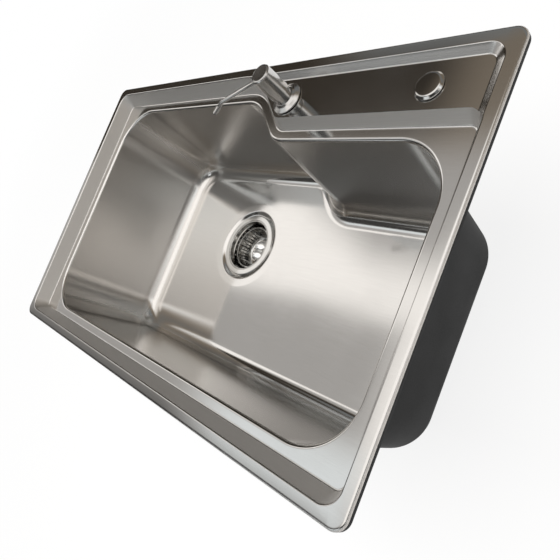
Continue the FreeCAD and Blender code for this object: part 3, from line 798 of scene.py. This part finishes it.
def makeKnob():
    stem, foot, low, rim = knob["stem"], knob["foot"], knob["low"], knob["rim"]
    bore, depth = knob["bore"]
    middle = knob["top"] - knob["lobeDrop"] * knob["lobe"][2]
    bm = bmesh.new()
    lathe(bm, [(0, low + depth, 0), (bore, low + depth, 0), (bore, low, 0), (foot, low, 0.0006),
               (foot - 0.001, low + 0.0018, 0.001), (stem, rim, 0.001), (stem, middle - 0.001, 0.0008),
               (0, middle - 0.001, 0)], (0, 0), 8, 96)
    turnOutward(bm)
    # Two rounded lobes to grip, with a groove between them
    for side in (-1, 1):
        size = Matrix.Diagonal((*knob["lobe"], 1))
        turn = Matrix.Rotation(math.radians(knob["lobeTurn"]), 4, "Y")
        place = Matrix.Translation((0, side * knob["apart"] / 2, middle)) @ turn
        bmesh.ops.create_uvsphere(bm, u_segments=48, v_segments=32, radius=1, matrix=place @ size)
    bmesh.ops.translate(bm, verts=bm.verts[:], vec=(*drain["centre"], 0))
    piece = rawObject(bm, "basketKnob")
    return finishPiece(piece, [knobChrome], "basket", ["basket_knob"], 28)


makeStrainerBody()
makeBasket()
makeKnob()
print("drain")

# Soap pump

pump = {
    "centre": middleOf("pump_collar").xy,
    "base": 0.0035,
    "flange": (0.0206, 0.0013),  # radius and height of its edge
    "cove": (0.0152, 0.0036, 0.006),  # radius, height and bend
    "neck": (0.0127, 0.0055),  # radius and height
    "bore": (0.0115, 0.0102, 0.012),  # upper and lower radius, and depth of the upper
    "shank": (0.0134, -0.0585),
    "threads": (24, 0.0006),  # count and depth
    "collar": (0.0113, 0.0345),
    "collarFoot": (-0.0065, -0.0045),  # underside and inside
    "collarWall": 0.0023,
    "rod": 0.00346,
    "head": (0.013, 0.0175, 0.054),
    "headBore": (0.0117, 0.0508),  # radius and ceiling
    "socket": (0.0062, 0.04),  # radius and foot of the sleeve on the rod
    "button": (0.011, 0.052),
    "spout": (0.0025, 0.047),  # radius and height of its axis
    "spoutStart": 0.0045,
    "spoutWall": 0.0009,
    "heading": -156,
    "reach": 0.069,
    "bend": 0.014,
    "tip": (0.02225, 0.009),  # run and fall
    "nozzle": (0.00255, 0.003, 0.015, 15),  # bore, radius, length and rings
    "nozzleLip": (0.0008, 0.001),  # depth and height
    "ringDepth": 0.00035,
}


def makePump():
    centre, base, rod = pump["centre"], pump["base"], pump["rod"]
    flange, edge = pump["flange"]
    cove, coveRise, coveBend = pump["cove"]
    neck, neckRise = pump["neck"]
    bore, lowerBore, depth = pump["bore"]
    shank, end = pump["shank"]
    threads, crest = pump["threads"]
    turnedPiece("pumpFlange",
                [(bore, base + neckRise, 0), (bore, base - depth, 0), (lowerBore, base - depth, 0),
                 (lowerBore, end, 0), (shank - crest, end, 0),
                 *ridges(shank, crest, end + 0.0005, base - 0.008, threads), (shank, base - 0.006, 0),
                 (shank, base, 0), (flange - 0.0003, base, 0.0002), (flange, base + edge, 0.0006),
                 (cove, base + coveRise, coveBend), (neck, base + neckRise, 0.0004),
                 (bore, base + neckRise, 0)],
                centre, brightChrome, "sink", "pump_flange")
    collar, rise = pump["collar"]
    under, inside = pump["collarFoot"]
    inner = collar - pump["collarWall"]
    turnedPiece("pumpCollar",
                [(rod, under, 0), (collar, under, 0), (collar, rise, 0.0005), (inner, rise, 0),
                 (inner, inside, 0), (rod, inside, 0), (rod, under, 0)],
                centre, brightChrome, "sink", "pump_collar")
    head, low, high = pump["head"]
    bore, ceiling = pump["headBore"]
    socket, foot = pump["socket"]
    button, seat = pump["button"]
    recess = button + 0.0002
    turnedPiece("pumpSleeve",
                [(bore, low, 0), (head - 0.0004, low, 0.0003), (head, low + 0.0006, 0.0004),
                 (head, high - 0.0014, 0.0006), (head - 0.0012, high - 0.0002, 0.0006), (recess, high, 0),
                 (recess, seat, 0), (0, seat, 0), (0, ceiling, 0), (rod, ceiling, 0), (rod, foot, 0),
                 (socket, foot, 0), (socket, ceiling, 0.001), (bore, ceiling, 0.001), (bore, low, 0)],
                centre, brightChrome, "pump_head", "pump_sleeve")
    turnedPiece("pumpButton",
                [(0, seat, 0), (button, seat, 0), (button, high - 0.0003, 0.0004),
                 (button - 0.0012, high - 0.0001, 0.0008), (0, high - 0.0004, 0)],
                centre, brightChrome, "pump_head", "pump_button")


def makeSpout():
    radius, height = pump["spout"]
    heading = math.radians(pump["heading"])
    ahead = Vector((math.cos(heading), math.sin(heading), 0))
    side = zAxis.cross(ahead)
    run, fall = pump["tip"]
    turn = math.atan2(fall, run)
    reach = pump["bend"] * math.tan(turn / 2)
    axis = Vector((*pump["centre"], height))
    root = axis + ahead * pump["spoutStart"]
    down = (ahead * run - zAxis * fall).normalized()
    mouth = axis + ahead * (pump["reach"] + run) - zAxis * fall
    bm = bmesh.new()
    facing = Matrix((side, zAxis, ahead)).transposed().to_4x4()
    bmesh.ops.create_circle(bm, cap_ends=False, radius=radius, segments=28,
                            matrix=Matrix.Translation(root) @ facing)
    begin = axis + ahead * (pump["reach"] - reach)
    geom = pushOn(bm, bm.verts[:] + bm.edges[:], begin - root)
    centre = begin - zAxis * pump["bend"]
    geom = bmesh.ops.spin(bm, geom=geom, cent=centre, axis=side, angle=turn, steps=10)["geom_last"]
    after = axis + ahead * pump["reach"] + down * reach
    pushOn(bm, geom, mouth - after - down * 0.0004)
    turnOutward(bm)
    spout = rawObject(bm, "pumpSpout")
    finishPiece(spout, [brightChrome], "pump_head", ["pump_spout"])
    wall = spout.modifiers.new("wall", "SOLIDIFY")
    wall.thickness, wall.offset = pump["spoutWall"], -1
    # Ringed nozzle on the mouth
    bore, outer, length, rings = pump["nozzle"]
    lip, lipHeight = pump["nozzleLip"]
    bm = bmesh.new()
    lathe(bm, [(bore, 0, 0), (outer - 0.0004, 0, 0),
               *ridges(outer, pump["ringDepth"], 0.0002, length - 0.0006, rings),
               (outer - 0.0004, length, 0.0003), (bore - lip, length, 0), (bore - lip, length - lipHeight, 0),
               (bore, length - lipHeight, 0), (bore, 0, 0)], (0, 0), 3, 48)
    turnOutward(bm)
    facing = Matrix((side, down.cross(side), down)).transposed().to_4x4()
    bm.transform(Matrix.Translation(mouth - down * length) @ facing)
    finishPiece(rawObject(bm, "pumpNozzle"), [brightChrome], "pump_head", ["pump_nozzle"])


makePump()
makeSpout()
print("pump")

# Bottle and the fixings under the deck

bottle = {
    "radius": 0.030,
    "wall": 0.0012,
    "top": -0.0425,
    "floor": -0.2075,
    "shoulder": -0.0745,
    "neck": (0.0137, 0.016),  # bore and height
    "punt": 0.0025,  # rise of the floor to its middle
    "ribs": 5,
    "rib": (0.03, 0.016, 0.0009),  # height of the first, pitch and depth
}


def makeBottle():
    radius, wall, top = bottle["radius"], bottle["wall"], bottle["top"]
    floor, shoulder, punt = bottle["floor"], bottle["shoulder"], bottle["punt"]
    neck, tall = bottle["neck"]
    first, pitch, depth = bottle["rib"]
    low, inner = floor - wall, radius - wall - depth
    band = []
    for rib in range(bottle["ribs"]):
        z = floor + first + rib * pitch
        band += [(radius, z, 0.001), (radius - depth, z + 0.002, 0.001),
                 (radius - depth, z + 0.005, 0.001), (radius, z + 0.007, 0.001)]
    outside = [(0, low + punt, 0), (radius * 0.55, low + punt, 0.002), (radius * 0.72, low, 0.003),
               (radius, low, 0.011), *band, (radius, shoulder + 0.0008, 0.012),
               (neck + 0.0048, top - tall - 0.0005, 0.003), (neck + wall, top - tall, 0),
               (neck + wall, top - 0.002, 0), (neck + wall, top, 0.0004)]
    inside = [(neck, top, 0), (neck, top - tall, 0.002), (inner, shoulder - 0.001, 0.012),
              (inner, floor, 0.01), (0, floor + punt, 0)]
    return turnedPiece("soapBottle", outside + inside, pump["centre"], clearPlastic, "sink", "soap_bottle",
                       6, 72)


lockNut = {
    "bore": 0.0448,
    "rim": 0.0518,
    "lugs": 8,
    "lug": (0.0055, 0.009, 0.00125),  # depth, width and how far its middle stands out
    "softEdge": 0.0008,
}


def makeLockNut():
    # Moulded nut with grips round its rim
    low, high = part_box("strainer_lock_nut")
    bore, rim, soft = lockNut["bore"], lockNut["rim"], lockNut["softEdge"]
    depth, width, out = lockNut["lug"]
    bm = bmesh.new()
    lathe(bm, [(bore, low.z, 0), (rim, low.z, soft), (rim, high.z, soft), (bore, high.z, 0),
               (bore, low.z, 0)], (0, 0), 3, 96)
    turnOutward(bm)
    for turn in range(lockNut["lugs"]):
        lug = roundedBox((depth, width, high.z - low.z), (rim + out, 0, (low.z + high.z) / 2), soft)
        lug.transform(Matrix.Rotation(2 * math.pi * turn / lockNut["lugs"], 4, "Z"))
        addTo(bm, lug)
    bmesh.ops.translate(bm, verts=bm.verts[:], vec=(*drain["centre"], 0))
    piece = rawObject(bm, "strainerLockNut")
    return finishPiece(piece, [whitePlastic], "sink", ["strainer_lock_nut"])


makeBottle()
makeLockNut()
print("bottle and fixings")

# Cover of the spare hole

cover = {
    "radius": 0.0156,
    "base": 0.0033,
    "edge": 0.0011,
    "crown": (0.0128, 0.0068),  # radius and height where its edge turns
    "top": 0.0070,
}


def makeCover():
    radius, base, edge = cover["radius"], cover["base"], cover["edge"]
    crown, rise = cover["crown"]
    return turnedPiece("coverCap",
                       [(0, base, 0), (radius - 0.0004, base, 0), (radius, base + edge, 0.0006),
                        (crown, rise, 0.003), (0, cover["top"], 0)],
                       middleOf("cover_cap").xy, strainerSteel, "sink", "cover_cap", 8, 96)


makeCover()
print("cover")

# Plain nodes take their finish by name

plainFinishes = {
    "gasket": sealRubber,
    "stopper": sealRubber,
    "friction_ring": whitePlastic,
    "washer": whitePlastic,
    "housing": whitePlastic,
    "piston": whitePlastic,
    "dip_tube": clearPlastic,
    "nut": blackPlastic,
}
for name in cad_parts:
    node = bpy.data.objects[name]
    fits = [finish for word, finish in plainFinishes.items() if name.endswith(word)]
    node.data.materials.clear()
    node.data.materials.append(fits[0] if fits else strainerSteel)
print("plain nodes", len(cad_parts))

# Stage, light and camera

view = {
    "place": (0.5755, -0.0947, 0.3677),
    "turn": (23.4252, 39.6613, 28.4489),  # degrees about X, Y and Z
    "focal": 501.66,  # pixels
    "middle": (280.25, 296.28),  # pixel where the lens axis meets the picture
    "picture": 560,
}


def makeCamera():
    camera = bpy.data.cameras.new("photoCamera")
    camera.sensor_width = 36
    camera.lens = 36 * view["focal"] / view["picture"]
    camera.shift_x = (view["picture"] / 2 - view["middle"][0]) / view["picture"]
    camera.shift_y = (view["middle"][1] - view["picture"] / 2) / view["picture"]
    camera.clip_start, camera.clip_end = 0.01, 50
    holder = bpy.data.objects.new("photoCamera", camera)
    holder.location = view["place"]
    holder.rotation_euler = [math.radians(angle) for angle in view["turn"]]
    bpy.context.scene.collection.objects.link(holder)
    bpy.context.scene.camera = holder


room = {
    "panel": ((-2.3, 1.6), (0.115, -0.11)),  # bright ceiling panel, as slopes along X and Y from straight up
    "panelSoft": (0.2, 0.025, 0.07),  # softness of its ends, near edge and far edge
    "nearTurn": (-0.9, 0.075),  # where its near edge turns, and by how much
    "farTurn": ((-1.25, -0.75), 0.5),  # between which slopes its far edge turns, and by how much
    "panelLight": 1.2,
    "overhead": (0.55, 0.1),  # slope within which the ceiling is bright all round, and softness
    "windows": [  # spans along X and Y, and light
        ((-1.15, -0.5), (-0.42, -0.18), 0.95),
        ((-0.75, 0.1), (-1.25, -0.85), 1.0),
        ((-2.2, 2.2), (-3.5, -1.5), 0.8),
        ((0.6, 2.6), (-0.9, -0.12), 0.1),
        ((-1.2, 1.0), (0.92, 1.8), 0.2),
        ((0.8, 1.5), (0.16, 0.37), 1.25),
    ],
    "windowSoft": ((0.2, 0.1), (0.05, 0.05)),  # along X and Y
    "front": (0.45, 0.65),  # light towards the left and the right
    "frontEdges": ((-0.3, 0.5), (-0.5, -0.25)),  # slopes along X and Y where the front changes
    "side": 0.05,
    "rear": (0.038, 0.2),
    "rearEdges": ((-0.8, -0.6), (0.5, 0.65)),
    "roomHue": (1.0, 0.975, 0.945),
    "rearHue": (1.0, 0.84, 0.66),
    "windowHue": (0.93, 0.98, 1.0),
}


def makeWorld():
    world = bpy.data.worlds.new("studio")
    bpy.context.scene.world = world
    world.use_nodes = True
    tree = world.node_tree
    work, rise, mix, blend = [partial(helper, tree) for helper in (worked, eased, mixed, blendTones)]

    def within(value, ends, soft):
        (low, high), (lowSoft, highSoft) = ends, soft
        return work("MULTIPLY", rise(value, low - lowSoft, low + lowSoft),
                    rise(value, high + highSoft, high - highSoft))

    # Each way is read as slopes along X and Y from straight up
    facing = addNode(tree, "ShaderNodeTexCoord").outputs["Generated"]
    way = addNode(tree, "ShaderNodeSeparateXYZ", {0: facing}).outputs
    up = work("MAXIMUM", way[2], 0.03)
    across, back = work("DIVIDE", way[0], up), work("DIVIDE", way[1], up)
    span, (near, far) = room["panel"]
    endSoft, nearSoft, farSoft = room["panelSoft"]
    nearStart, nearTurn = room["nearTurn"]
    (farStart, farEnd), farTurn = room["farTurn"]
    nearEdge = work("MULTIPLY", work("MINIMUM", work("SUBTRACT", across, nearStart), 0), nearTurn)
    held = addNode(tree, "ShaderNodeClamp", {0: across, 1: farStart, 2: farEnd}).outputs[0]
    farEdge = work("MULTIPLY", held, farTurn)
    panel = work("MULTIPLY", rise(work("SUBTRACT", back, nearEdge), near - nearSoft, near + nearSoft),
                 rise(work("ADD", back, farEdge), far + farSoft, far - farSoft))
    panel = work("MULTIPLY", within(across, span, (endSoft, endSoft)), panel)
    tilt = addNode(tree, "ShaderNodeCombineXYZ", {0: across, 1: back}).outputs[0]
    slope = addNode(tree, "ShaderNodeVectorMath", {0: tilt}, operation="LENGTH").outputs["Value"]
    overhead, soft = room["overhead"]
    bright = work("MAXIMUM", panel, rise(slope, overhead + soft, overhead - soft))
    frontX, frontY = room["frontEdges"]
    rearX, rearY = room["rearEdges"]
    atRear = rise(back, *rearY)
    tone = mix(rise(back, *frontY), room["side"], mix(rise(across, *frontX), *room["front"]))
    tone = mix(atRear, tone, mix(rise(across, *rearX), *room["rear"]))
    softX, softY = room["windowSoft"]
    opened = 0.0
    for spanX, spanY, glow in room["windows"]:
        window = work("MULTIPLY", within(across, spanX, softX), within(back, spanY, softY))
        tone = mix(window, tone, glow)
        opened = work("MAXIMUM", opened, window)
    light = mix(bright, tone, room["panelLight"])
    seen = addNode(tree, "ShaderNodeLightPath").outputs["Is Camera Ray"]
    hue = blend(opened, blend(atRear, room["roomHue"], room["rearHue"]), room["windowHue"])
    sky = tree.nodes["Background"]
    tree.links.new(blend(seen, hue, (1, 1, 1)), sky.inputs["Color"])
    tree.links.new(mix(seen, light, 1.0), sky.inputs["Strength"])


lampSettings = {
    "size": 2.0,
    "energy": 60,
    "place": (0.2, -0.2, 2.4),
}


def makeLamp():
    # Broad soft lamp over the sink, for the coatings and plastics
    lamp = bpy.data.lights.new("softLamp", "AREA")
    lamp.shape, lamp.size, lamp.energy = "SQUARE", lampSettings["size"], lampSettings["energy"]
    holder = bpy.data.objects.new("softLamp", lamp)
    holder.location = lampSettings["place"]
    holder.visible_glossy = False
    bpy.context.scene.collection.objects.link(holder)


paper = {
    "size": 6,
    "gap": 0.002,  # below the object
    "tone": (0.9, 0.9, 0.9, 1),
    "rough": 0.9,
    "fade": (0.7, 2.2),  # from the object, where the paper turns to plain white
    "white": (0.85, 1.0),  # share of plain white near the object and away from it
}


def makeFloor():
    bm = bmesh.new()
    bmesh.ops.create_grid(bm, x_segments=1, y_segments=1, size=paper["size"])
    bmesh.ops.translate(bm, verts=bm.verts[:], vec=(0, 0, cadBox[0].z - paper["gap"]))
    floor = rawObject(bm, "studioFloor")
    material, tree, shader, place = startFinish("floorPaper")
    shader.inputs["Base Color"].default_value = paper["tone"]
    shader.inputs["Roughness"].default_value = paper["rough"]
    path = addNode(tree, "ShaderNodeLightPath").outputs
    direct = worked(tree, "MAXIMUM", path["Is Camera Ray"], path["Is Glossy Ray"])
    direct = worked(tree, "MAXIMUM", direct, path["Is Transmission Ray"])
    # White away from the object, and clear from below so that the underside can be seen
    away = addNode(tree, "ShaderNodeVectorMath", {0: place}, operation="LENGTH").outputs["Value"]
    share = worked(tree, "MULTIPLY", direct, eased(tree, away, *paper["fade"], *paper["white"]))
    white = addNode(tree, "ShaderNodeEmission", {"Color": (1, 1, 1, 1), "Strength": 1})
    mix = addNode(tree, "ShaderNodeMixShader", {0: share, 1: shader.outputs[0], 2: white.outputs[0]})
    behind = addNode(tree, "ShaderNodeNewGeometry").outputs["Backfacing"]
    clear = addNode(tree, "ShaderNodeBsdfTransparent")
    sided = addNode(tree, "ShaderNodeMixShader", {0: behind, 1: mix.outputs[0], 2: clear.outputs[0]})
    tree.links.new(sided.outputs[0], tree.nodes["Material Output"].inputs["Surface"])
    floor.data.materials.append(material)


makeCamera()
makeWorld()
makeLamp()
makeFloor()
bpy.context.scene.view_settings.view_transform = "Standard"
print("stage")
